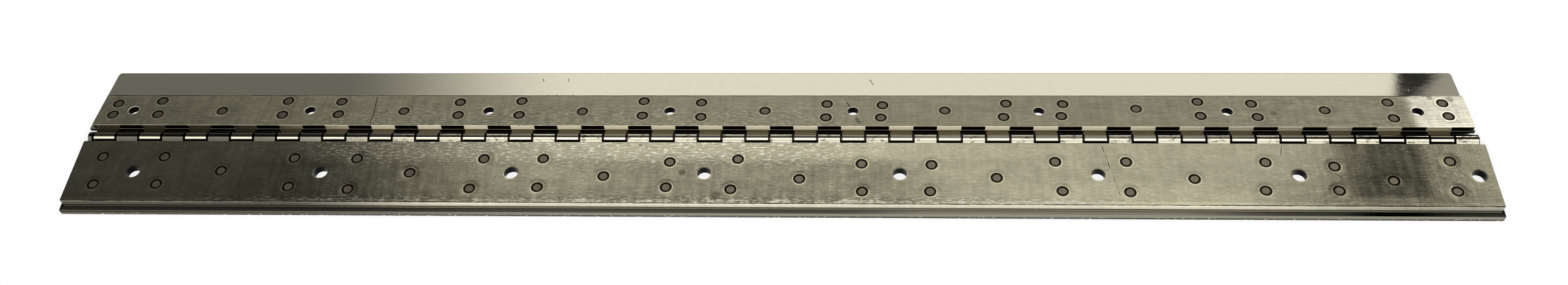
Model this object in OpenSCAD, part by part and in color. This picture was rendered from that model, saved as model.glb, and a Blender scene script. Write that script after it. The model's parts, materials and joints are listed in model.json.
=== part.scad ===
// Heavy continuous (piano) hinge in stainless sheet.
//
// Two hinge leaves are rolled into alternating knuckles around one long pin. The leaves are fully
// swaged: their undersides lie almost in the plane of the pin, so the knuckle straps rise over it.
// A thicker, narrower cover plate lies on top of each leaf and is held by flush plug welds.
// Countersunk-free screw holes go straight through plate and leaf.
//
// The hinge lies open on a flat surface at Z = 0, on its barrel and on the outer edge of each leaf,
// so both leaves slope down a little from the barrel. The pin runs along X, the far leaf is at +Y
// and the near leaf at -Y. X = 0 is the middle of the overall length.

/* [Overall] */
// Overall length, from the left end of the far leaf to the right end of the near leaf
overall_len = 742; // [400:1:1000]
// Leaf width, from the pin's axis to the outer edge
leaf_w = 50.8; // [48:0.2:80]
// Thickness of the leaf sheet
leaf_t = 1.5; // [1:0.1:2.2]
// Gap between the two leaf undersides when the hinge is shut
closed_gap = 0.4; // [0.2:0.1:1.2]
// Radius of the leaves' outer corners
leaf_corner_r = 2.2; // [0.5:0.1:4]
// Broken edge along the top of every sheet
edge_break = 0.25; // [0.1:0.05:0.4]

/* [Leaf ends] */
// Set back of the near leaf's left end
near_left_set = 2; // [0:0.5:4]
// Set back of the far leaf's right end
far_right_set = 1; // [0:0.5:4]
// Set back of both cover plates' left ends
plate_left_set = 2; // [0:0.5:4]
// Set back of the far cover plate's right end
far_plate_right_set = 1.5; // [0:0.5:4]
// Plan radius of the cover plates' corners
plate_corner_r = 0.9; // [0.4:0.1:2]

/* [Barrel] */
// Pin diameter
pin_d = 3.2; // [2.4:0.1:4]
// Radial clearance between pin and knuckles
pin_clear = 0.05; // [0.02:0.01:0.1]
// Chamfer on the pin's ends
pin_chamfer = 0.4; // [0.2:0.1:0.8]
// Length of one knuckle with its gap
knuckle_pitch = 12.7; // [8:0.1:20]
// Gap between neighbouring knuckles
knuckle_gap = 0.6; // [0.3:0.1:1.2]
// Where the first whole knuckle starts, from the left end
first_knuckle = 4.6; // [0:0.1:12]
// Narrowest slice of a knuckle that is left on at a cut end
least_slice = 1.5; // [1:0.1:3]
// Inner radius of the bend where a strap rises from its leaf
bend_r = 1.5; // [1:0.1:2.2]
// Gap between the tip of a rolled knuckle and its leaf
curl_gap = 0.25; // [0.1:0.05:0.5]
// Where the leaf sheet is cut back between its knuckles, from the pin's axis
notch_edge = 5.3; // [4.8:0.1:7]

/* [Cover plates] */
// Thickness of the cover plates
plate_t = 2.7; // [2:0.1:3.6]
// Inner edge of both cover plates, from the pin's axis
plate_inner = 5.5; // [5.3:0.1:8]
// Width of the near cover plate
near_plate_w = 39.9; // [34:0.1:41]
// Width of the far cover plate
far_plate_w = 24.2; // [20:0.1:38]

/* [Screw holes] */
// Diameter of the near leaf's holes
near_hole_d = 7.3; // [5:0.1:8.5]
// Distance of the near row from the pin's axis
near_row = 26.1; // [24:0.1:30]
// Pitch of the near row
near_pitch = 101.5; // [70:0.5:125]
// First near hole, from the left end
near_first = 35.5; // [32:0.5:60]
// Last near hole, from the right end
near_last = 8; // [7:0.5:12]
// Diameter of the far leaf's holes
far_hole_d = 6.2; // [4:0.1:7]
// Distance of the far row from the pin's axis
far_row = 17.3; // [16:0.1:22]
// Pitch of the far row
far_pitch = 99; // [70:0.5:125]
// First far hole, from the left end
far_first = 21.2; // [20:0.5:60]

/* [Plug welds] */
// Diameter of the welds in the inner and outer rows
weld_d = 5.8; // [4:0.1:6.5]
// Diameter of the far plate's single welds between the holes
small_weld_d = 5.4; // [4:0.1:6]
// Radial gap around a weld
weld_gap = 0.02; // [0.01:0.01:0.05]
// Width of the groove around a weld's face
weld_groove = 0.5; // [0.2:0.1:0.8]
// Depth of that groove
weld_groove_depth = 0.4; // [0.2:0.1:0.8]
// How far a weld's face lies below the plate
weld_sunk = 0.08; // [0:0.02:0.2]
// Distance of the near welds from their hole, along the hinge
near_weld_step = 17; // [12:0.5:22]
// Near inner row of welds, from the pin's axis
near_weld_in = 17.5; // [14:0.1:18]
// Near outer row of welds, from the pin's axis
near_weld_out = 36; // [35:0.1:40]
// Near welds between the holes, from the pin's axis
near_weld_mid = 27.5; // [24:0.1:30]
// Distance of the last near welds from the last hole
near_weld_last_step = 13; // [9:0.5:16]
// Distance of the far welds from their hole, along the hinge
far_weld_step = 15; // [9:0.5:20]
// Far inner row of welds, from the pin's axis
far_weld_in = 13.3; // [11:0.1:14]
// Far outer row of welds, from the pin's axis
far_weld_out = 23.6; // [23:0.1:25]
// Far welds between the holes, from the pin's axis
far_weld_mid = 17.3; // [15:0.1:22]
// How much of each hand-placed weld's stray is kept
stray_kept = 1; // [0:0.1:1]

/* [Hidden] */
$fn = 48;

// Barrel: bore, outer radius and the axis height that puts the barrel on the surface
bore_r = pin_d / 2 + pin_clear;
barrel_r = bore_r + leaf_t;
pin_z = barrel_r;

// Heights above the pin's plane, in a leaf's own frame
under_z = closed_gap / 2;
sheet_z = under_z + leaf_t;
cover_z = sheet_z + plate_t;

// Slope of a resting leaf: its lower outer edge comes down to the barrel's lowest line
rest_slope = asin(barrel_r / norm([leaf_w, under_z])) + atan(under_z / leaf_w);

// Strap bend: an arc that is tangent to the sheet and to the barrel
bend_z = sheet_z + bend_r;
bend_y = sqrt(pow(barrel_r + bend_r, 2) - pow(bend_z, 2));
bend_turn = atan(bend_y / bend_z);

// Facets in a strap's bend
bend_steps = 5;
// Lean of the joint between barrel and strap, which keeps its ends inside the metal
cut_lean = 5;
// How far a strap runs on into its sheet, so that the two are one piece
strap_lap = 1;

// Ends along X
left_x = -overall_len / 2;
right_x = overall_len / 2;
far_leaf_x = [left_x, right_x - far_right_set];
near_leaf_x = [left_x + near_left_set, right_x];
far_plate_x = [left_x + plate_left_set, right_x - far_plate_right_set];
near_plate_x = [left_x + plate_left_set, right_x];
pin_x = [near_leaf_x[0] + knuckle_gap, near_leaf_x[1] - 2 * knuckle_gap];

// Rows of screw holes, as X positions from left to right
near_last_x = right_x - near_last;
near_count = floor((near_last_x - left_x - near_first - near_pitch / 2) / near_pitch) + 1;
near_holes = [
    for (i = [0 : near_count - 1]) left_x + near_first + i * near_pitch,
    near_last_x
];
far_count = floor((overall_len - 2 * far_first) / far_pitch) + 1;
far_holes = [for (i = [0 : far_count - 1]) left_x + far_first + i * far_pitch];

// Strays of the hand-placed welds: [along the hinge, away from the pin], from left to right
far_in_strays = [
    [4.6, 0.4], [-0.2, 0.7], [0.5, 0.4], [1.5, 0.9], [-1.2, 0.4], [2.3, 0.5], [0.5, 0.2],
    [2.3, -0.8], [0.5, -1], [-0.2, -1.1], [-4, -0.5], [-3.5, 0.2], [0.6, 0.5], [0.1, -0.3],
    [1.3, -1.1], [-0.2, 0.5]
];
far_out_strays = [
    [4.6, -1.1], [-1.2, 1.1], [0.8, 1.1], [1, 0.6], [-1.9, 0.2], [2, 1.2], [0.3, 1.2], [1.8, 0.1],
    [1, -0.9], [0.8, -1.8], [-2, -0.4], [-1.9, -0.8], [0.6, 1.1], [-1.4, -0.4], [1, 0.6],
    [-0.7, 0.2]
];
far_mid_strays = [
    [0.5, -0.5], [2.8, -0.6], [2, -0.6], [2.1, 0], [-0.4, 0.4], [2, 1.9], [1.5, 0.9]
];
near_in_strays = [
    [-2.5, -1.2], [-2.7, -1.3], [0.7, -0.7], [0.5, -0.5], [1.2, -0.5], [-1.2, -0.8], [-1.5, 1.2],
    [0.2, -0.8], [-2.7, 2], [-0.5, 2.5], [-4.3, 0.3], [-2, 0.3], [1.2, 0.3], [1.5, 2.8],
    [0.5, -0.7]
];
near_out_strays = [
    [-2, -1.5], [-2, -1.8], [1.8, -0.5], [-0.2, 1], [-3.5, 0.3], [-2, -0.7], [-2.3, -1],
    [-2.7, 0.2], [-2.5, 1.2], [-1.7, 1], [-2, 0.5], [-2, 1], [-1.5, -0.3], [1, -0.5], [-0.2, -0.3]
];
near_mid_strays = [
    [-3.2, -2.2], [-3.1, -1.2], [-1.8, 0.5], [-1.1, 1.8], [-1.1, 0.7], [-2.4, 1], [1.6, 1.7]
];

// Welds as [x, distance from the pin's axis]: neat spots, each with its stray
function weld_row(xs, row, strays) = [
    for (i = [0 : len(xs) - 1])
        let (off = stray_kept * strays[i % len(strays)]) [xs[i] + off[0], row + off[1]]
];
function middles(holes) = [
    for (i = [0 : len(holes) - 2]) (holes[i] + holes[i + 1]) / 2
];
near_hole_sides = [
    for (i = [0 : near_count - 1], side = [-1, 1]) near_holes[i] + side * near_weld_step,
    near_last_x - near_weld_last_step
];
far_hole_sides = [for (x = far_holes, side = [-1, 1]) x + side * far_weld_step];
far_hole_mids = middles(far_holes);
near_hole_mids = middles(near_holes);
near_in_spots = weld_row(near_hole_sides, near_weld_in, near_in_strays);
near_out_spots = weld_row(near_hole_sides, near_weld_out, near_out_strays);
near_mid_spots = weld_row(near_hole_mids, near_weld_mid, near_mid_strays);
far_in_spots = weld_row(far_hole_sides, far_weld_in, far_in_strays);
far_out_spots = weld_row(far_hole_sides, far_weld_out, far_out_strays);
far_mid_spots = weld_row(far_hole_mids, far_weld_mid, far_mid_strays);

// Puts a leaf's own frame (pin axis at the origin, leaf towards +Y) where the leaf rests
module at_far() {
    translate([0, 0, pin_z]) rotate([-rest_slope, 0, 0]) children();
}

module at_near() {
    translate([0, 0, pin_z]) mirror([0, 1, 0]) rotate([-rest_slope, 0, 0]) children();
}

// Extrudes a Y-Z profile from x0 to x1
module along_x(x0, x1) {
    translate([x0, 0, 0]) rotate([90, 0, 90]) linear_extrude(x1 - x0) children();
}

// Flat sheet from x0 to x1 and y0 to y1, with plan corners and the two long top edges broken.
// inner_r rounds the corners at y0, outer_r those at y1.
module sheet(x0, x1, y0, y1, z0, thick, inner_r, outer_r) {
    top = z0 + thick;
    intersection() {
        along_x(x0, x1) polygon([
            [y0, z0], [y1, z0], [y1, top - edge_break], [y1 - edge_break, top],
            [y0 + edge_break, top], [y0, top - edge_break]
        ]);
        translate([0, 0, z0 - 1]) linear_extrude(thick + 2) polygon(concat(
            corner([x0 + inner_r, y0 + inner_r], inner_r, 180),
            corner([x1 - inner_r, y0 + inner_r], inner_r, 270),
            corner([x1 - outer_r, y1 - outer_r], outer_r, 0),
            corner([x0 + outer_r, y1 - outer_r], outer_r, 90)
        ));
    }
}

// Quarter turn of points around c, from the angle start
function corner(c, r, start) = [
    for (a = [0 : 22.5 : 90]) c + r * [cos(start + a), sin(start + a)]
];

// Point on the strap's bend at radius r: angle 0 is straight below the bend's centre
function on_bend(r, angle) = [bend_y - r * sin(angle), bend_z - r * cos(angle)];

// Point past q on the line from p through q
function beyond(p, q, d) = q + d * (q - p) / norm(q - p);

// Direction in the Y-Z plane, as an angle from straight up
function heading(angle) = [sin(angle), cos(angle)];

// Strap from inside the barrel's wall, through its bend, to just inside the sheet
module strap_profile() {
    step = bend_turn / bend_steps;
    under_r = bend_r + leaf_t;
    last = bend_turn - step;
    polygon(concat(
        [for (i = [0 : bend_steps - 1]) on_bend(bend_r, i * step)],
        [beyond(on_bend(bend_r, last), on_bend(bend_r, bend_turn), barrel_r * sin(step / 2))],
        [bore_r / 2 * heading(bend_turn - step)],
        [beyond(on_bend(under_r, last), on_bend(under_r, bend_turn), bore_r * sin(step / 2))],
        [for (i = [bend_steps - 1 : -1 : 0]) on_bend(under_r, i * step)],
        [[notch_edge + strap_lap, under_z], [notch_edge + strap_lap, sheet_z]]
    ));
}

// Rolled knuckle with its strap, in the leaf's own Y-Z frame
module knuckle_profile() {
    reach = 3 * barrel_r;
    wall_mid = (bore_r + barrel_r) / 2 * heading(bend_turn);
    cut_way = heading(bend_turn + cut_lean);
    tip_z = under_z - curl_gap;
    difference() {
        union() {
            difference() {
                circle(barrel_r);
                polygon([
                    wall_mid - norm(wall_mid) * cut_way, wall_mid + reach * cut_way,
                    [reach, reach], [reach, tip_z], [bore_r / 2, tip_z]
                ]);
            }
            strap_profile();
        }
        circle(bore_r);
    }
}

// One leaf: the sheet with its screw holes, and every second knuckle, cut off at the leaf's ends
module hinge_leaf(ends, odd, holes, hole_row, hole_d) {
    difference() {
        sheet(ends[0], ends[1], notch_edge, leaf_w, under_z, leaf_t, 0.3, leaf_corner_r);
        for (x = holes) translate([x, hole_row, under_z - 1]) cylinder(d = hole_d, h = leaf_t + 2);
    }
    first = left_x + first_knuckle;
    last_k = ceil((right_x - first) / knuckle_pitch);
    for (k = [-1 : last_k]) {
        x0 = max(ends[0], first + k * knuckle_pitch + knuckle_gap / 2);
        x1 = min(ends[1], first + (k + 1) * knuckle_pitch - knuckle_gap / 2);
        is_odd = abs(k) % 2 == 1;
        if (is_odd == odd && x1 - x0 > least_slice) along_x(x0, x1) knuckle_profile();
    }
}

// One cover plate with its screw holes and weld holes
module cover_plate(ends, width, holes, hole_row, hole_d, spots, small_spots, small_d) {
    difference() {
        sheet(ends[0], ends[1], plate_inner, plate_inner + width, sheet_z, plate_t,
              plate_corner_r, plate_corner_r);
        for (x = holes) translate([x, hole_row, sheet_z - 1]) cylinder(d = hole_d, h = plate_t + 2);
        for (s = spots) translate([s[0], s[1], sheet_z - 1]) cylinder(d = weld_d, h = plate_t + 2);
        for (s = small_spots) translate([s[0], s[1], sheet_z - 1])
            cylinder(d = small_d, h = plate_t + 2);
    }
}

// Plug welds: each fills its hole down to the leaf and has a groove around its face
module welds(spots, hole_d) {
    r = hole_d / 2 - weld_gap;
    height = plate_t - weld_sunk;
    for (s = spots) translate([s[0], s[1], sheet_z]) {
        cylinder(r = r, h = height - weld_groove_depth);
        translate([0, 0, height - weld_groove_depth])
            cylinder(r1 = r, r2 = r - weld_groove, h = weld_groove_depth);
    }
}

module far_leaf() {
    color("#8b887c") at_far() hinge_leaf(far_leaf_x, false, far_holes, far_row, far_hole_d);
}

module near_leaf() {
    color("#6f6c62") at_near() hinge_leaf(near_leaf_x, true, near_holes, near_row, near_hole_d);
}

module hinge_pin() {
    color("#a5a296") translate([pin_x[0], 0, pin_z]) rotate([0, 90, 0]) {
        span = pin_x[1] - pin_x[0];
        r = pin_d / 2;
        cylinder(r1 = r - pin_chamfer, r2 = r, h = pin_chamfer);
        translate([0, 0, pin_chamfer]) cylinder(r = r, h = span - 2 * pin_chamfer);
        translate([0, 0, span - pin_chamfer]) cylinder(r1 = r, r2 = r - pin_chamfer, h = pin_chamfer);
    }
}

module far_cover_plate() {
    color("#9b988a") at_far()
        cover_plate(far_plate_x, far_plate_w, far_holes, far_row, far_hole_d,
                    concat(far_in_spots, far_out_spots), far_mid_spots, small_weld_d);
}

module near_cover_plate() {
    color("#97978a") at_near()
        cover_plate(near_plate_x, near_plate_w, near_holes, near_row, near_hole_d,
                    concat(near_in_spots, near_out_spots), near_mid_spots, weld_d);
}

module far_inner_welds() {
    color("#5d5a50") at_far() welds(far_in_spots, weld_d);
}

module far_outer_welds() {
    color("#5d5a50") at_far() welds(far_out_spots, weld_d);
}

module far_middle_welds() {
    color("#68655a") at_far() welds(far_mid_spots, small_weld_d);
}

module near_inner_welds() {
    color("#5d5a50") at_near() welds(near_in_spots, weld_d);
}

module near_outer_welds() {
    color("#5d5a50") at_near() welds(near_out_spots, weld_d);
}

module near_middle_welds() {
    color("#68655a") at_near() welds(near_mid_spots, weld_d);
}

far_leaf();
near_leaf();
hinge_pin();
far_cover_plate();
near_cover_plate();
far_inner_welds();
far_outer_welds();
far_middle_welds();
near_inner_welds();
near_outer_welds();
near_middle_welds();
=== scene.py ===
# %% [markdown]
# # A heavy continuous hinge in stainless steel
#
# The metal itself comes from the packed CAD model: two leaves rolled into knuckles around one pin,
# and a thicker cover plate held on each leaf by plug welds. Nothing of that shape is remade here.
# What Blender adds is what a workshop adds: brushed and rolled surfaces, dished and stained metal
# round each weld, scratches, and a studio for the metal to reflect.

# %% Load the model
import json
import math
import bpy
from mathutils import Matrix, Vector


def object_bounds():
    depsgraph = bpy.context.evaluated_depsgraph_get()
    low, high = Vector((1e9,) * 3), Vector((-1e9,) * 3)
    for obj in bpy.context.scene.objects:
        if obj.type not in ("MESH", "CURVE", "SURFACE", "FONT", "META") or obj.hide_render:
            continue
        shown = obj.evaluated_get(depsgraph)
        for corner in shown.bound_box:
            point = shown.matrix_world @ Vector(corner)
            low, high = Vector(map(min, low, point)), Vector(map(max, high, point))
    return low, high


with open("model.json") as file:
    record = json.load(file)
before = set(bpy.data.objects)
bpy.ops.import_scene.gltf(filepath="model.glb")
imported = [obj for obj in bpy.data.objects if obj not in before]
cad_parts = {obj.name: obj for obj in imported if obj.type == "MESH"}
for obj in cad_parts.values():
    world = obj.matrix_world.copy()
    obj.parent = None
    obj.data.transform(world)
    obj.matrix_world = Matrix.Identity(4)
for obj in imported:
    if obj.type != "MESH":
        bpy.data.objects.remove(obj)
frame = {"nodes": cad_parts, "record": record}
cad_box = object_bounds()
NODES = frame["nodes"]
RECORD = frame["record"]
SIDES = ("far", "near")
MM = 0.001
print("overall size in mm:", [round((b - a) / MM, 1) for a, b in zip(*cad_box)])

# %% [markdown]
# ## The leaf's own directions
#
# The open hinge lies on its barrel and on the outer edges of its leaves, so each leaf slopes down a
# few degrees. Marks on a leaf are easiest to place in its own plane: along the hinge, across from
# the pin, and up from the pin's plane. The joint in the record says where the pin is, and a mount
# on the leaf's back says how far the leaf leans.

# %% Pin and slope
HINGE = RECORD["behaviour"]["joints"][0]
PIN_Z = HINGE["pos_m"][2] / MM
MOUNTS = {m["name"]: m for m in RECORD["mounts"]}
lean = MOUNTS["far_leaf_back"]["axis"]
SLOPE_SIN, SLOPE_COS = abs(lean[1]), abs(lean[2])
slope = math.degrees(math.asin(SLOPE_SIN))
print("pin height", round(PIN_Z, 2), "mm, slope", round(slope, 2), "deg")


def on_leaf(point):
    """(along, across) in mm of a point given in metres."""
    x, y, z = (c / MM for c in point)
    return x, abs(y) * SLOPE_COS - (z - PIN_Z) * SLOPE_SIN


# %% [markdown]
# ## Where the welds and screw holes are
#
# Every weld is a separate plug in the model, so a walk over its mesh finds them: vertices joined by
# a face belong to one plug, and its middle is the plug's place. The screw holes come in pairs in
# the record, each pair a circle's centre and diameter. Typing the places in again would be quicker
# once, but wrong as soon as the model changes.

# %% Welds
def islands(mesh):
    """Middle of each connected piece of a mesh, in metres."""
    places, at = {}, []
    for v in mesh.vertices:
        key = tuple(round(c, 6) for c in v.co)
        at.append(places.setdefault(key, len(places)))
    owner = list(range(len(places)))

    def top(i):
        while owner[i] != i:
            owner[i] = owner[owner[i]]
            i = owner[i]
        return i

    for face in mesh.polygons:
        corners = [top(at[v]) for v in face.vertices]
        for c in corners[1:]:
            owner[top(c)] = top(corners[0])
    lows, highs = {}, {}
    for key, i in places.items():
        p, t = Vector(key), top(i)
        lows[t] = Vector(map(min, lows.get(t, p), p))
        highs[t] = Vector(map(max, highs.get(t, p), p))
    return [(lows[t] + highs[t]) / 2 for t in lows]


def weld_places(side):
    rows = [n for n in NODES if n.startswith(side) and n.endswith("welds")]
    return sorted(on_leaf(p) for n in rows for p in islands(NODES[n].data))


WELDS = {side: weld_places(side) for side in SIDES}
print("welds", {s: len(v) for s, v in WELDS.items()})


# %% Screw holes
def hole_places(side):
    found = []
    for m in RECORD["mounts"]:
        if m["kind"] == "bolt_pattern" and m["name"].startswith(side):
            x, across = on_leaf(m["pos_m"])
            half = m["dims"]["pcd_mm"] / 2
            found += [(x - half, across), (x + half, across)]
    return sorted(found)


HOLES = {side: hole_places(side) for side in SIDES}
HOLE_R = {side: MOUNTS[side + "_screws_inner"]["dims"]["hole_r_mm"] for side in SIDES}
print("screw holes", {s: len(v) for s, v in HOLES.items()}, "radius in mm", HOLE_R)


# %% [markdown]
# The knuckles repeat at an even pitch with a thin slit between them. Their ends can be read off the
# far leaf's mesh close to the pin, and the edges of plates and leaves off their own meshes.

# %% Knuckles and edges
BARREL_HALF = 2 * MM
barrel = [v.co for v in NODES["far_leaf"].data.vertices if abs(v.co.y) < BARREL_HALF]
ends = sorted({round(co.x / MM, 2) for co in barrel})
PITCH = (ends[2] - ends[0]) / 2
SLIT = PITCH - (ends[1] - ends[0])
FIRST = ends[0] - SLIT / 2
print("knuckle pitch", round(PITCH, 2), "mm, slit", round(SLIT, 2), "mm")


def edges(node):
    """How near to the pin's axis a node starts and how far from it it ends, in mm."""
    spread = [on_leaf(v.co)[1] for v in NODES[node].data.vertices]
    return min(spread), max(spread)


EDGES = {side: edges(side + "_cover_plate") for side in SIDES}
LEAF_WIDTH = round(edges("far_leaf")[1], 1)
print("plates run from the pin's axis", {s: [round(e, 1) for e in v] for s, v in EDGES.items()})
print("a leaf ends", LEAF_WIDTH, "mm from the pin's axis")

# %% [markdown]
# ## Writing shaders as sums
#
# A metal finish is mostly arithmetic: so much grain, less of it near a weld, more polish along an
# edge. Wiring that by hand hides the idea, so a small class wraps a node's output and turns
# Python's operators into Math nodes. Numbers that don't meet a socket stay plain Python.

# %% Sockets that can be added and multiplied
class Amount:
    """A value that varies over a surface."""

    def __init__(self, finish, socket):
        self.finish, self.socket = finish, socket

    def _math(self, operation, *values):
        return self.finish.node("ShaderNodeMath", {"operation": operation}, enumerate(values))

    def __add__(self, other):
        return self._math("ADD", self, other)

    def __sub__(self, other):
        return self._math("SUBTRACT", self, other)

    def __rsub__(self, other):
        return self._math("SUBTRACT", other, self)

    def __mul__(self, other):
        return self._math("MULTIPLY", self, other)

    def __abs__(self):
        return self._math("ABSOLUTE", self)

    __radd__, __rmul__ = __add__, __mul__

    def least(self, other):
        return self._math("MINIMUM", self, other)

    def most(self, other):
        return self._math("MAXIMUM", self, other)

    def rise(self, low, high):
        """0 below low, 1 above high, smooth between. If low is the larger, it falls instead."""
        a, b = sorted((low, high))
        settings = {"interpolation_type": "SMOOTHSTEP"}
        sockets = {"Value": self, "From Min": a, "From Max": b}
        up = self.finish.node("ShaderNodeMapRange", settings, sockets)
        return 1 - up if low > high else up

    def within(self, start, full, still, stop):
        """Rises from start to full, stays 1, and falls from still to stop."""
        return self.rise(start, full) * self.rise(stop, still)


def strongest(masks):
    """The largest of several masks at every point."""
    found = masks[0]
    for mask in masks[1:]:
        found = found.most(mask)
    return found


print("masks can be added, multiplied and compared")


# %% [markdown]
# Every other node comes from one method, which takes its type, its settings and its sockets. A
# colour goes through Mix and Vector Math nodes, because a Math node would turn it grey.

# %% Materials and worlds from nodes
class Finish:
    """A material or world built from nodes."""

    def __init__(self, tree):
        self.tree = tree
        tree.nodes.clear()

    def node(self, kind, settings=(), sockets=(), out=0):
        """Adds a node: its settings first, then values or links of its sockets."""
        made = self.tree.nodes.new(kind)
        for key, value in dict(settings).items():
            setattr(made, key, value)
        for key, value in dict(sockets).items():
            socket = made.inputs[key]
            if isinstance(value, Amount):
                self.tree.links.new(value.socket, socket)
            else:
                opaque = socket.type == "RGBA" and len(value) == 3
                socket.default_value = (*value, 1) if opaque else value
        return Amount(self, made.outputs[out]) if made.outputs else made

    def join(self, x, y, z=0):
        return self.node("ShaderNodeCombineXYZ", (), {"X": x, "Y": y, "Z": z})

    def split(self, vector):
        made = self.node("ShaderNodeSeparateXYZ", (), {0: vector}).socket.node
        return [Amount(self, s) for s in made.outputs]

    def rays(self, *kinds):
        """1 for each of these kinds of ray, 0 for the others."""
        made = self.node("ShaderNodeLightPath").socket.node
        return [Amount(self, made.outputs["Is %s Ray" % kind]) for kind in kinds]

    def mix(self, amount, first, second):
        """Colour: first where amount is 0, second where it is 1."""
        sockets = {"Factor": amount, 6: first, 7: second}
        return self.node("ShaderNodeMix", {"data_type": "RGBA"}, sockets, 2)

    def shade(self, colour, amount):
        """A colour made darker or lighter by a varying amount."""
        sockets = {0: colour, 1: self.join(amount, amount, amount)}
        return self.node("ShaderNodeVectorMath", {"operation": "MULTIPLY"}, sockets)


print("a finish can", [k for k in vars(Finish) if not k.startswith("_")])


# %% [markdown]
# A finish for this hinge starts from where a point lies on its leaf. The object's own coordinates
# turn with the leaf when the hinge folds, so marks stay put.

# %% A metal finish on a leaf
class Metal(Finish):
    """A metal surface that knows its leaf's directions."""

    def __init__(self, name, side):
        self.material = bpy.data.materials.new(name)
        self.material.use_nodes = True
        super().__init__(self.material.node_tree)
        self.side = side
        self.shader = self.node("ShaderNodeBsdfPrincipled", (), {"Metallic": 1.0})
        self.node("ShaderNodeOutputMaterial", (), {"Surface": self.shader})
        here = self.node("ShaderNodeTexCoord", (), (), "Object")
        sockets = {0: here, "Scale": 1 / MM}
        scaled = self.node("ShaderNodeVectorMath", {"operation": "SCALE"}, sockets)
        self.x, y, z = self.split(scaled)
        y, z = y * (1 if side == "far" else -1), z - PIN_Z
        self.across = y * SLOPE_COS - z * SLOPE_SIN
        self.up = y * SLOPE_SIN + z * SLOPE_COS
        self.spot = self.join(self.x, self.across)

    def feed(self, socket, value):
        self.tree.links.new(value.socket, self.shader.socket.node.inputs[socket])

    def bump(self, height):
        """Tilts the surface by a height in mm."""
        sockets = {"Strength": 1.0, "Distance": MM, "Height": height}
        self.feed("Normal", self.node("ShaderNodeBump", (), sockets))

    def noise(self, along, across, up=0.0, detail=3, rough=0.6):
        """Cloudy noise with about this many clouds per mm each way."""
        place = self.join(self.x * along, self.across * across, self.up * up)
        sockets = {"Vector": place, "Scale": 1.0, "Detail": detail, "Roughness": rough}
        return self.node("ShaderNodeTexNoise", (), sockets)

    def nearest(self, places):
        """Distance in mm to the nearest of some (along, across) places."""
        found = None
        for x, across in places:
            sockets = {0: self.spot, 1: (x, across, 0)}
            d = self.node("ShaderNodeVectorMath", {"operation": "DISTANCE"}, sockets, "Value")
            found = d if found is None else found.least(d)
        return found

    def slit(self):
        """Distance in mm from the middle of the nearest slit between knuckles."""
        sockets = {0: self.x - FIRST, 1: PITCH / 2}
        return self.node("ShaderNodeMath", {"operation": "PINGPONG"}, sockets)

    def beside_other(self):
        """1 where the other leaf's knuckles are, 0 beside this leaf's own."""
        start = FIRST if self.side == "near" else FIRST + PITCH
        sockets = {0: self.x - start, 1: 2 * PITCH}
        turn = self.node("ShaderNodeMath", {"operation": "FLOORED_MODULO"}, sockets)
        return turn.within(0.0, 0.2, PITCH - 0.2, PITCH)


print("a metal finish measures along, across and up in mm")


# %% [markdown]
# A scratch is a straight line with a slight wobble. A point's distance along and off the line gives
# one mask. Scratches are listed, from one (along, across) place to another, with a width.

# %% Scratches
WOBBLE = 0.8


def scratch(f, start, end, width):
    """1 on a thin scratch from start to end, 0 away from it."""
    (x0, y0), (x1, y1) = start, end
    length = math.hypot(x1 - x0, y1 - y0)
    ux, uy = (x1 - x0) / length, (y1 - y0) / length
    dx, dy = f.x - x0, f.across - y0
    along = dx * ux + dy * uy
    wobble = (f.noise(0.25, 0.25, detail=1, rough=0.5) - 0.5) * WOBBLE
    off = abs(abs(dx * uy - dy * ux) + wobble)
    return off.rise(width, width * 0.4) * along.within(-0.5, 0.5, length - 0.5, length + 0.5)


def scratches(f, lines):
    return strongest([scratch(f, *line) for line in lines])


print("scratches waver by up to", WOBBLE / 2, "mm")

# %% [markdown]
# ## Brushed cover plates
#
# Flat bar is finished with a belt that runs along it. The belt leaves fine grooves along the bar,
# so a reflection smears across it and stays sharp along it. The grooves themselves do that here: a
# noise stretched along the bar and fed to the bump, over metal that is nearly a mirror. A rough
# shader would blur both ways.
#
# Each noise below is one thing that the belt did: fine grooves, short dashes where it dug in,
# columns where it chattered, and clouds and blotches where it pressed more or less.

# %% What the belt leaves
STEEL = (0.68, 0.64, 0.45)
STAIN = (0.30, 0.25, 0.15)


def add_belt_marks(f):
    f.groove = f.noise(0.03, 6.0, 6.0)
    f.dash = f.noise(0.30, 1.15, 1.15)
    f.column = f.noise(0.30, 0.035)
    f.cloud = f.noise(0.022, 0.06)
    f.blotch = f.noise(0.09, 0.13, detail=4)
    f.patchy = f.blotch.rise(0.36, 0.62)


print("steel", STEEL, "stain", STAIN)

# %% [markdown]
# A plug weld pulls the plate in as it cools, and grinding it flush polishes a halo round the dish.
# The heat leaves a brown stain further out, and soot stays in the seam. The walls of the screw
# holes are painted almost black, as the shade inside them, with a painted highlight round the rim.
# All of these depend only on how far a point is from the nearest weld or hole, so each is one mask
# on a distance.

# %% Round the welds and holes
# Distances in mm from a weld's middle or a hole's wall: where the mask is 0, where it is 1
HALO, SEAM, HEAT, DISH = (4.3, 3.5), (3.4, 3.1), (7.5, 2.9), (2.2, 6.0)
HOLE_WALL, HOLE_RIM, HOLE_ROUNDED = (0.12, 0.02), (0.8, 0.1), (-0.2, 0.9)
DISH_DEPTH, ROUNDED_DEPTH = 0.05, 0.03


def add_fixings(f):
    weld = f.nearest(WELDS[f.side])
    hole = f.nearest(HOLES[f.side]) - HOLE_R[f.side]
    f.halo = weld.rise(*HALO) * (0.4 + f.patchy * 0.6)
    f.seam = weld.rise(*SEAM)
    f.heat = weld.rise(*HEAT) * f.blotch.rise(0.35, 0.75)
    f.dish = weld.rise(*DISH) * DISH_DEPTH
    # Painted shade on the hole walls, and a painted highlight round the rim
    f.oily = hole.rise(*HOLE_WALL)
    f.rim = hole.rise(*HOLE_RIM) * (1 - f.oily)
    f.rounded = hole.rise(*HOLE_ROUNDED) * ROUNDED_DEPTH


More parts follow.
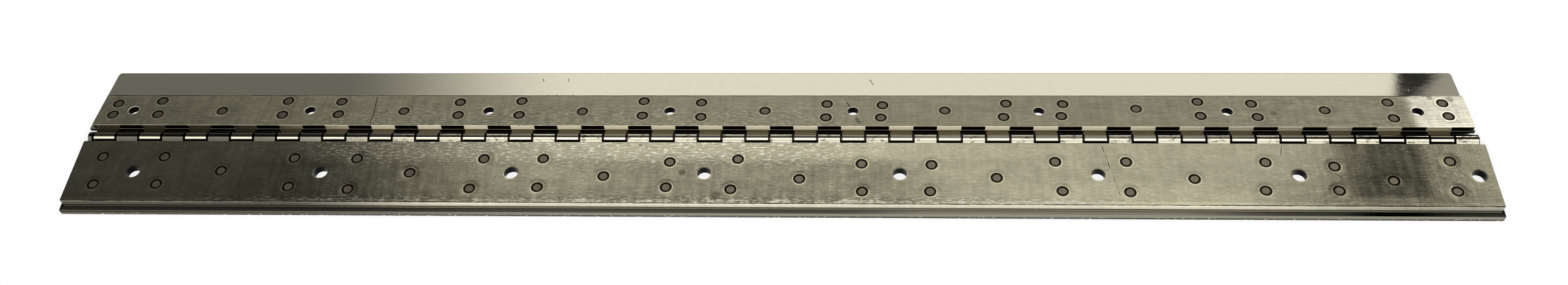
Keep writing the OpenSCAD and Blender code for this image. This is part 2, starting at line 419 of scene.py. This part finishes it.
print("a weld's stain reaches", HEAT[0], "mm from its middle")

# %% [markdown]
# The belt wasn't even along the plate. It dug in most near the barrel on the left half, and along
# the outer edge, and there its dashes are also painted paler, as glints. On the near plate a darker
# band runs down the middle, a painted dark reflection lies near the right end, and a painted sheen
# lies right of the middle by the outer edge. The far plate's right end is painted bright, as a
# reflection, and left smoother. Each zone is a mask that fades in and out, along the hinge and
# across it.

# %% Where the wear lies
# Along the hinge in mm from its middle: starts, is full, is still full, stops
DUG_INNER, DUG_OUTER = (-268, -215, 15, 75), (-330, -250, 140, 230)
DULL_BAND, DARK_PATCH, GLOW = (-310, -240, 50, 115), (286, 306, 333, 341), (70, 190, 240, 262)
POLISHED_END = (336, 344)


def add_wear(f, dull_band, bright_end):
    # Painted reflection: the far plate's right end is painted bright, and its bump softened
    f.end = f.x.rise(*POLISHED_END) * bright_end
    inner = f.across.rise(26, 13) * f.x.within(*DUG_INNER)
    outer = f.across.rise(39, 42.5) * f.x.within(*DUG_OUTER) * 0.8
    f.busy = inner.most(outer)
    share = 0.08 + f.patchy * 0.22 + f.busy * 0.75
    # Belt dashes, painted paler in the busy zones as glints
    f.dug = f.dash.rise(0.50, 0.60) * share * (1 - f.end)
    waved = f.across + (f.blotch - 0.5) * 14 + (f.column - 0.5) * 8
    band = waved.within(14, 20, 43, 46) * f.x.within(*DULL_BAND)
    band = band * (0.65 + f.x.rise(-130, -60) * 0.35)
    # Painted dark reflection near the near plate's right end
    patch = f.x.within(*DARK_PATCH) * f.across.rise(41, 38) * (0.9 + f.patchy * 0.6)
    f.band = band.most(patch) * dull_band
    # Painted sheen by the near plate's outer edge, right of the middle
    f.glow = f.across.rise(26, 40) * f.x.within(*GLOW) * dull_band


print("the dull band runs from", DULL_BAND[0], "to", DULL_BAND[3], "mm")


# %% [markdown]
# A sheared face isn't brushed. The face beside the barrel is painted pale beside the leaf's own
# knuckles, as a reflection of the bright strap, and almost black beside the other leaf's knuckles,
# as the dark notch it mirrors there. The near plate's outer face is painted pale, as a reflection
# of the white table. Along the top corner runs a painted dark line, and on the near plate a painted
# highlight beside it. The far plate's hole walls are painted pale at their top, as a highlight. All
# cut faces are painted dimmer towards the ends, as shade. The painted pale faces are less metallic
# in the shader, so that they keep a plain pale colour whatever they would mirror.

# %% Cut faces of a plate
BARE, SHEARED, PALE_FACE = (0.84, 0.76, 0.56), (0.62, 0.59, 0.49), (0.93, 0.88, 0.72)
OILED = (0.02, 0.018, 0.012)


# Painted shade: cut faces darker towards both ends
def dimmer_ends(f, left, right):
    """1 along the middle, less towards both ends."""
    return (0.12 + f.x.rise(*left) * 0.88) * (1 - f.x.rise(*right) * 0.5)


def add_cut_faces(f, pale_face):
    inner, outer = EDGES[f.side]
    inner_face = f.across.rise(inner + 0.2, inner + 0.05)
    outer_face = f.across.rise(outer - 0.2, outer - 0.05)
    close = f.beside_other()
    f.cut = inner_face.most(outer_face)
    # Painted shade: beside the other leaf's knuckles the face mirrors the dark notch
    f.oiled_face = inner_face * close
    # Painted reflection: beside the leaf's own knuckles the face mirrors the bright strap
    f.bare = inner_face * (1 - close) * dimmer_ends(f, (-290, -190), (160, 280))
    if f.side == "far":
        # Painted highlight on the top of the far plate's hole walls
        f.bare = f.bare.most(f.oily * f.up.rise(3.9, 4.2))
    # Painted reflection: the near plate's outer face mirrors the white table
    f.face = outer_face * pale_face
    f.face_tone = dimmer_ends(f, (-250, -150), (240, 330))
    # Painted dark line along the top corner, and on the near plate a painted highlight beside it
    f.lip = f.across.rise(outer - 0.9, outer - 0.6) * f.up.rise(3.7, 4.0)
    f.pale = f.across.within(outer - 3.0, outer - 2.0, outer - 0.9, outer - 0.6) * pale_face


print("bare cut metal", BARE)


# %% [markdown]
# How bright the brushed face is, is a sum of all these marks, then a product with whatever darkens
# it. The near plate shows its marks more strongly than the far one, so their strength is a setting.
# A painted level makes the far plate darker overall, as shade, and a painted lift lightens its left
# end.

# %% Brightness of a brushed face
def brushed_tone(f, dashes, shine, lift, marks, smudge):
    tone = 0.80 + (f.groove - 0.5) * 0.25 + (f.cloud - 0.5) * 0.30 + (f.column - 0.5) * 0.45
    # A darker band, a painted dark reflection and a painted sheen on the near plate
    tone = tone - f.band * 0.34 + f.glow * 0.25
    tone = tone + (f.blotch - 0.5) * 0.40 + (f.dash - 0.5) * (0.12 + f.busy * 0.7)
    # Painted glints on the dug dashes, and a painted highlight round each hole
    tone = tone + f.dug * dashes * 0.35 - dashes * f.busy * 0.06 + f.halo * 0.6 + f.rim * 0.3
    # Painted level: the far plate is darker as shade, its left end lighter and its right end
    # brighter
    tone = tone * (shine + f.end * 0.5 + f.x.rise(-100, -250) * lift)
    tone = tone * (1 - marks * 0.75) * (1 - smudge * 0.45)
    return tone * (1 - f.oily * 0.995) * (1 - f.seam * 0.85)


def plate_colour(f, dashes, tone):
    # The painted glints and the painted bright end turn paler
    colour = f.mix((f.dug * dashes * 0.8).most(f.end), STEEL, (0.88, 0.84, 0.70))
    colour = f.shade(f.mix(f.heat * 0.4, colour, STAIN), tone)
    # Painted dark line and painted highlight along the top corner
    colour = f.shade(colour, (1 - f.lip * (0.25 + f.patchy * 0.6)) * (1 + f.pale * 0.3))
    sheared = f.shade(SHEARED, (0.50 + f.column * 0.45) * f.face_tone)
    # Painted reflections and painted shade on the cut faces
    colour = f.mix(f.bare, f.mix(f.cut, colour, sheared), BARE)
    colour = f.mix(f.face, colour, f.shade(PALE_FACE, (0.80 + f.column * 0.3) * f.face_tone))
    return f.mix(f.oiled_face, colour, OILED)


print("a plate's colour has a steel, a stain, and its cut faces")


# %% [markdown]
# The finish puts the parts together. The grooves and dashes go to the bump with their depths in mm,
# with a little dish round each weld and a rounded edge to each hole.

# %% Plate finish
def brushed_plate(name, side, lines, smudges, groove, dashes, haze, shine, lift=0.0,
                  dull_band=0.0, bright_end=0.0):
    f = Metal(name, side)
    add_belt_marks(f)
    add_fixings(f)
    add_wear(f, dull_band, bright_end)
    add_cut_faces(f, pale_face=dull_band)
    marks = scratches(f, lines)
    smudge = strongest([f.nearest([spot]).rise(size, size * 0.4) for spot, size in smudges])
    smudge = smudge * (0.6 + f.patchy * 0.4)
    tone = brushed_tone(f, dashes, shine, lift, marks, smudge)
    f.feed("Base Color", plate_colour(f, dashes, tone))
    f.feed("Metallic", 1 - f.bare.most(f.face))
    rough = haze + (f.cloud - 0.5) * 0.10 + (f.column - 0.5) * 0.08 + f.dug * 0.06
    f.feed("Roughness", rough + marks * 0.2 + smudge * 0.15 + f.oily * 0.3 + f.cut * 0.15)
    height = f.groove * groove + f.dug * dashes * 0.010 + f.blotch * 0.05 + f.column * 0.02
    height = (height + f.dish - marks * 0.03) * (1 - f.end * 0.6)
    f.bump(height + f.rounded)
    return f.material


print("plate finishes have grooves, dashes, haze and shine")

# %% [markdown]
# Each plate has its own scratches, as (along, across) ends and a width in mm, and its own oily
# fingermarks, as a place and a size.

# %% Both plates
FAR_SCRATCHES = [((-215, 6), (-215, 15), 0.42), ((-215, 15), (-216, 28), 0.42),
                 ((51, 6), (41.5, 27), 0.2), ((49.5, 6), (47.5, 12), 0.15)]
FAR_SMUDGES = [((362, 27), 3.0), ((352, 28), 2.0), ((268, 16), 2.5)]
NEAR_SCRATCHES = [((175.5, 7.5), (182.3, 42.5), 0.25), ((267.7, 8), (265.7, 15), 0.2),
                  ((289, 22), (296, 29), 0.18), ((352, 20), (359, 30), 0.2)]
NEAR_SMUDGES = [((-42.5, 25.3), 2.6), ((-24, 40), 3.4), ((-66, 7.5), 0.9), ((355.7, 35.5), 1.4),
                ((-12, 44), 1.2), ((-6, 44), 1.2), ((20, 44), 1.2), ((26, 44), 1.2),
                ((33, 44), 1.2)]

finishes = {
    "far_cover_plate": brushed_plate(
        "Brushed plate, far", "far", FAR_SCRATCHES, FAR_SMUDGES,
        groove=0.055, dashes=0.5, haze=0.15, shine=0.48, lift=0.13, bright_end=0.9),
    "near_cover_plate": brushed_plate(
        "Brushed plate, near", "near", NEAR_SCRATCHES, NEAR_SMUDGES,
        groove=0.008, dashes=1.0, haze=0.12, shine=1.0, dull_band=1.0),
}
for name, finish in finishes.items():
    print(name, "has", len(finish.node_tree.nodes), "nodes")

# %% [markdown]
# ## Rolled leaves
#
# Hinge leaves are cold-rolled sheet. It leaves the mill almost like a mirror, with faint lines
# along the strip, and picks up handling marks: hazy patches, short ticks across, and smudgy wear on
# the near knuckles, which are also painted darker towards the left end as shade. On the far leaf
# the valley between the barrel and the cover plate is painted dark and brown, as shade. The sheared
# outer edge is rough and painted dark, as shade by the table, and the near leaf has a painted
# highlight on its top corner and a painted shadow beside its plate. The sheet climbs a little
# towards the barrel, and droops a little at its outer edge, which a sloping height gives.
#
# Some of what looks like colour is really shadow: the sides of the barrel under the straps, the
# notches behind it and the walls of the slits hardly see any light. Painting them dark keeps them
# dark where a light happens to be mirrored in them.

# %% Shaded places of a leaf
def add_shaded_places(f):
    shadowed = (-0.4, -1.1) if f.side == "near" else (-2.65, -2.85)
    notch = f.across.within(3.4, 5.0, 5.4, 5.5) * f.beside_other()
    walls = f.slit().rise(SLIT / 2 + 0.5, SLIT / 2 + 0.25) * f.across.rise(5.4, 5.0)
    f.slot = strongest([f.across.rise(*shadowed), notch, walls])


# %% Outer edge of a leaf
RIM_COLOUR = (0.24, 0.235, 0.185)


def add_outer_edge(f):
    """The sheared outer face, painted dark as shade. The near leaf has a painted highlight on its
    top corner, and painted shadow beside its plate.
    """
    # Painted shade: the outer face is darkened, as the table shades it
    f.edge = f.across.rise(LEAF_WIDTH - 0.6, LEAF_WIDTH - 0.25)
    f.speck = f.noise(0.5, 1.0, 1.0, detail=2, rough=0.5).rise(0.60, 0.68)
    if f.side == "near":
        # Painted highlight on the near leaf's top corner
        f.corner_rim = f.across.rise(LEAF_WIDTH - 1.6, LEAF_WIDTH - 1.2) * f.up.rise(1.5, 1.65)
        f.edge = f.edge * f.up.rise(1.65, 1.5)
        # Painted shadow on the near leaf beside its plate's outer edge
        plate_end = EDGES[f.side][1]
        f.foot = f.across.rise(plate_end + 3.2, plate_end + 0.3) * f.across.rise(40, 41)


print("shaded places and edges are ready")


# %% [markdown]
# The leaf's finish then works like the plate's: a sum of light marks, times what darkens it.

# %% Leaf finish
ROLLED = (0.67, 0.64, 0.51)


def rolled_leaf(name, side, haze, climb, grime, droop, nicks=()):
    f = Metal(name, side)
    # Painted shade on the hole walls
    oily = (f.nearest(HOLES[side]) - HOLE_R[side]).rise(*HOLE_WALL)
    lines = f.noise(0.02, 3.0, 3.0, detail=4)
    cloud = f.noise(0.03, 0.09, 0.09)
    smudge = f.noise(0.25, 0.5, 0.6, detail=4, rough=0.65)
    ticks = f.noise(1.3, 0.10, detail=2, rough=0.5).rise(0.70, 0.78) * cloud.rise(0.5, 0.62)
    add_shaded_places(f)
    add_outer_edge(f)
    # Painted shade in the valley between barrel and plate, tinted brown
    valley = f.across.within(-0.9, 0.1, 5.6, 6.5) * grime
    # Smudgy wear on the near knuckles, painted darker towards the left end as shade
    worn = (0.15 + smudge.rise(0.50, 0.66) * 0.6).most(f.x.rise(-150, -290) * 0.80)
    worn = worn * f.across.rise(7, 5.5) * (1 - grime)
    tone = 0.86 + lines * 0.10 + smudge * 0.14 - ticks * 0.35
    # Painted shade on the outer face, and on the hole walls
    tone = tone * (1 - f.edge * (0.85 - f.speck * 0.6)) * (1 - oily * 0.995)
    tone = tone * (1 - valley * 0.55) * (1 - f.slot * 0.97) * (1 - worn)
    if nicks:
        tone = tone * (1 - scratches(f, nicks) * f.up.rise(1.3, 1.6) * 0.7)
    if side == "near":
        tone = tone * (1 - f.foot * 0.8)
    colour = f.mix(valley * (0.55 + smudge * 0.6), ROLLED, STAIN)
    colour = f.shade(colour, tone)
    if side == "near":
        # The painted corner highlight dims towards the left end
        rim_tone = 0.2 + f.x.rise(-330, -60) * 0.8
        colour = f.mix(f.corner_rim, colour, f.shade(RIM_COLOUR, rim_tone))
        f.feed("Metallic", 1 - f.corner_rim)
    f.feed("Base Color", colour)
    rough = haze + (cloud - 0.5) * 0.05 + (smudge - 0.5) * 0.05
    f.feed("Roughness", rough + ticks * 0.15 + f.edge * 0.3)
    slopes = (6.0 - f.across).least(3.2).most(0) * climb - (f.across - 45).most(0) * droop
    f.bump(lines * 0.0015 + smudge * 0.003 + cloud * 0.015 - ticks * 0.01 + slopes)
    return f.material


print("rolled sheet", ROLLED)

# %% [markdown]
# Only the far leaf has nicks that show. They are scratches too, kept to the sheet's top face.

# %% Both leaves
FAR_NICKS = [((55.3, 45.2), (57.2, 41.0), 0.45), ((-127, 46), (-126, 43.5), 0.3),
             ((-122, 33), (-121, 29), 0.3), ((-117, 33), (-117.5, 29.5), 0.3),
             ((-112.5, 46), (-112, 43), 0.3), ((-108, 33), (-107, 29), 0.3),
             ((-124, 30), (-105, 29), 0.25), ((60, 31), (72, 30.4), 0.3)]
finishes["far_leaf"] = rolled_leaf(
    "Rolled sheet, far", "far", haze=0.035, climb=0.21, grime=1.0, droop=0.0, nicks=FAR_NICKS)
finishes["near_leaf"] = rolled_leaf(
    "Rolled sheet, near", "near", haze=0.055, climb=0.42, grime=0.0, droop=0.06)
print("leaves:", len(finishes["far_leaf"].node_tree.nodes), "nodes in the far finish")

# %% [markdown]
# ## Pin and welds
#
# The pin is drawn wire with rings from turning in its knuckles. Only its ends and what the slits
# show of it can be seen, and it is painted nearly black, for oil and for the shade inside the
# slits.

# %% Pin
def drawn_pin():
    f = Metal("Drawn pin", "near")
    rings = f.noise(2.2, 0.05)
    # Painted nearly black, for oil and for the shade in the slits
    f.feed("Base Color", f.shade((0.09, 0.08, 0.06), 0.6 + rings * 0.8))
    f.feed("Roughness", 0.3 + rings * 0.2)
    f.bump(rings * 0.004)
    return f.material


finishes["hinge_pin"] = drawn_pin()
print("the pin's finish is dark and ringed")

# %% [markdown]
# A plug weld is ground flush and comes out duller and browner than the plate, gritty from the
# wheel, with soot in the groove round it. The soot's inner edge wanders, because the weld wasn't
# filled evenly.

# %% Welds
SOOT = (0.022, 0.018, 0.012)
SOOT_RING = (1.95, 2.2)
# Painted level: the far welds are painted darker as shade, like the far plate
WELD_SHINE = {"far": 0.48, "near": 0.85}


def ground_weld(side):
    f = Metal("Ground weld, " + side, side)
    middle = f.nearest(WELDS[side])
    grit = f.noise(1.6, 2.4, 2.0, detail=4, rough=0.7)
    patch = f.noise(0.35, 0.35, detail=2, rough=0.5)
    soot = (middle + (patch - 0.5) * 0.8).rise(*SOOT_RING)
    ground = (0.2 + grit * 1.0 + patch * 0.4) * WELD_SHINE[side]
    f.feed("Base Color", f.mix(soot, f.shade((0.37, 0.325, 0.235), ground), SOOT))
    f.feed("Roughness", 0.30 + grit * 0.14 + soot * 0.4)
    f.bump(grit * 0.012 + patch * 0.08)
    return f.material


for side in SIDES:
    made = ground_weld(side)
    for node in NODES:
        if node.startswith(side) and node.endswith("welds"):
            finishes[node] = made

for name, node in NODES.items():
    node.data.materials.clear()
    node.data.materials.append(finishes[name])
print("finishes given to", len(finishes), "nodes")

# %% [markdown]
# ## Table
#
# Bare metal is only as good as what it reflects. The hinge lies on a white matt table. A camera or
# a mirror sees mostly through it, to a white world, so that it looks evenly white and still keeps
# the hinge's shadow, and so that a leaf folded under the other one isn't lost below it. Under the
# barrel, where no light gets in, the table is dark. Ambient Occlusion tells where it is covered, so
# the dark goes away when the hinge folds and uncovers it.

# %% Table
TABLE_SIZE, TABLE_GAP = 8, 0.0001
TABLE_WHITE, TABLE_DARK = (0.93, 0.935, 0.96), (0.03, 0.03, 0.03)
THROUGH = (1, 1.006, 1.032, 1)  # evens out the world's slight warmth, so that white stays white
bpy.ops.mesh.primitive_plane_add(size=TABLE_SIZE, location=(0, 0, cad_box[0].z - TABLE_GAP))
table = bpy.context.object
table.name = "table"
cloth = bpy.data.materials.new("White table")
cloth.use_nodes = True
t = Finish(cloth.node_tree)
camera_ray, glossy_ray = t.rays("Camera", "Glossy")
x, y, z = t.split(t.node("ShaderNodeTexCoord", (), (), "Object"))
clear_of_barrel = abs(y).rise(0.010, 0.013)
open_above = t.node("ShaderNodeAmbientOcclusion", {"samples": 6}, {"Distance": 0.012}, 1)
under = abs(y - 0.004).rise(0.0058, 0.0048) * abs(x).rise(0.370, 0.368)
under = under * open_above.rise(0.55, 0.35)
matt = t.node("ShaderNodeBsdfDiffuse", (), {"Color": t.mix(under, TABLE_WHITE, TABLE_DARK)})
clear = t.node("ShaderNodeBsdfTransparent", (), {"Color": THROUGH})
see_through = camera_ray.most(glossy_ray) * clear_of_barrel * 0.8
surface = t.node("ShaderNodeMixShader", (), {0: see_through, 1: matt, 2: clear})
t.node("ShaderNodeOutputMaterial", (), {"Surface": surface})
table.data.materials.append(cloth)
print("table", TABLE_SIZE, "m wide at height", round(table.location.z, 5))

# %% [markdown]
# ## Room
#
# The room is painted on the world, because soft lamps big enough would be hard to place without
# showing. What counts is the angle of a reflected ray over the hinge: 0 degrees is the horizon
# beyond the far leaf, 90 is straight up, and 180 is the horizon on the near side. From far to near
# there is a soft light low behind, a pale wall and its upper part, a dim ceiling, and a big bright
# panel on the near side. How far a ray leans to the right, dx, says where they are darker. A dark
# flag and a bright window at the right give the far leaf its dark corner.

# %% What the metal reflects
world = bpy.data.worlds.new("Studio")
bpy.context.scene.world = world
world.use_nodes = True
w = Finish(world.node_tree)
dx, dy, dz = w.split(w.node("ShaderNodeTexCoord", (), (), "Generated"))
angle = w.node("ShaderNodeMath", {"operation": "ARCTAN2"}, {0: dz, 1: dy}) * (180 / math.pi)
lit = dx.rise(-0.36, -0.20)
middle = dx.within(-0.02, 0.06, 0.20, 0.28)
rightward = dx.rise(0.22, 0.36)

behind = angle.within(-8, -2, 29, 34) * 0.55
wall = angle.within(29, 34, 44, 47) * (0.20 + dx.rise(-0.345, -0.185) * 0.88)
upper = angle.within(44, 47, 58.6, 60) * (0.08 + dx.rise(-0.36, -0.19) * 0.94)
upper = upper * (1 - dx.rise(0.0, 0.08) * 0.25)
ceiling = angle.within(58.6, 60, 100, 104) * (0.03 + lit * 0.08 + middle * 0.21 - rightward * 0.07)
panel = 0.5 + angle.rise(156, 150) * 0.6 + angle.rise(138, 131) * (0.4 + lit * 0.6)
panel = panel * angle.rise(103, 109)
window = angle.within(40, 41.5, 46, 50) * dx.rise(0.352, 0.360) * 3.6
print("the room has a wall, a ceiling, a panel and a window")

# %% [markdown]
# The flag stands in front of all of them but the window. Its left edge is sharp and its right edge
# leans. Rays that the camera sees directly, or that mirror the horizon, find plain white, and matt
# surfaces get an even light.

# %% Flag and light levels
flag = dx.rise(0.3412, 0.3425) * (dx + (angle - 38.5) * 0.011).rise(0.369, 0.359) * 0.97
flag = flag.most(dx.rise(0.350, 0.352) * 0.6) * angle.rise(54, 48)
flag = flag.most(dx.within(0.308, 0.330, 0.350, 0.385) * angle.within(44, 48, 100, 104))
level = (wall + upper + ceiling + panel + behind) * (1 - flag) + window
camera_ray, glossy_ray, soft = w.rays("Camera", "Glossy", "Diffuse")
white = camera_ray.most(glossy_ray * dz.rise(0.20, 0.08))
SOFT_LEVEL = 1.08
level = (level * (1 - white) + white) * (1 - soft) + soft * SOFT_LEVEL
glow = w.node("ShaderNodeBackground", (), {"Color": (1, 0.995, 0.97), "Strength": level})
w.node("ShaderNodeOutputWorld", (), {"Surface": glow})
print("world:", len(world.node_tree.nodes), "nodes, soft light level", SOFT_LEVEL)

# %% [markdown]
# ## Camera
#
# The viewpoint stands in front of the near leaf, a little right of the middle, and looks down at
# about 48 degrees with a wide lens, turned slightly left and rolled a few degrees. The three angles
# give the camera's own directions, and those make its matrix.

# %% Camera
TILT, YAW, ROLL = 0.8449114, -0.0781983, 0.0561884
STAND = (0.04936, -0.50883, 0.57558)
SENSOR, FOCAL = 36, 33.10
forward = Vector((math.sin(YAW) * math.cos(TILT), math.cos(YAW) * math.cos(TILT), -math.sin(TILT)))
level_right = Vector((math.cos(YAW), -math.sin(YAW), 0))
level_down = forward.cross(level_right)
right = math.cos(ROLL) * level_right + math.sin(ROLL) * level_down
down = -math.sin(ROLL) * level_right + math.cos(ROLL) * level_down
lens = bpy.data.cameras.new("camera")
lens.sensor_width, lens.lens = SENSOR, FOCAL
camera = bpy.data.objects.new("camera", lens)
bpy.context.scene.collection.objects.link(camera)
turn = Matrix((right, -down, -forward)).transposed().to_4x4()
camera.matrix_world = Matrix.Translation(STAND) @ turn
bpy.context.scene.camera = camera
bpy.context.scene.view_settings.view_transform = "Standard"
print("the camera looks down at", round(math.degrees(TILT), 1), "deg")

# %% [markdown]
# ## Done
#
# Nothing was added to the hinge or taken from it.
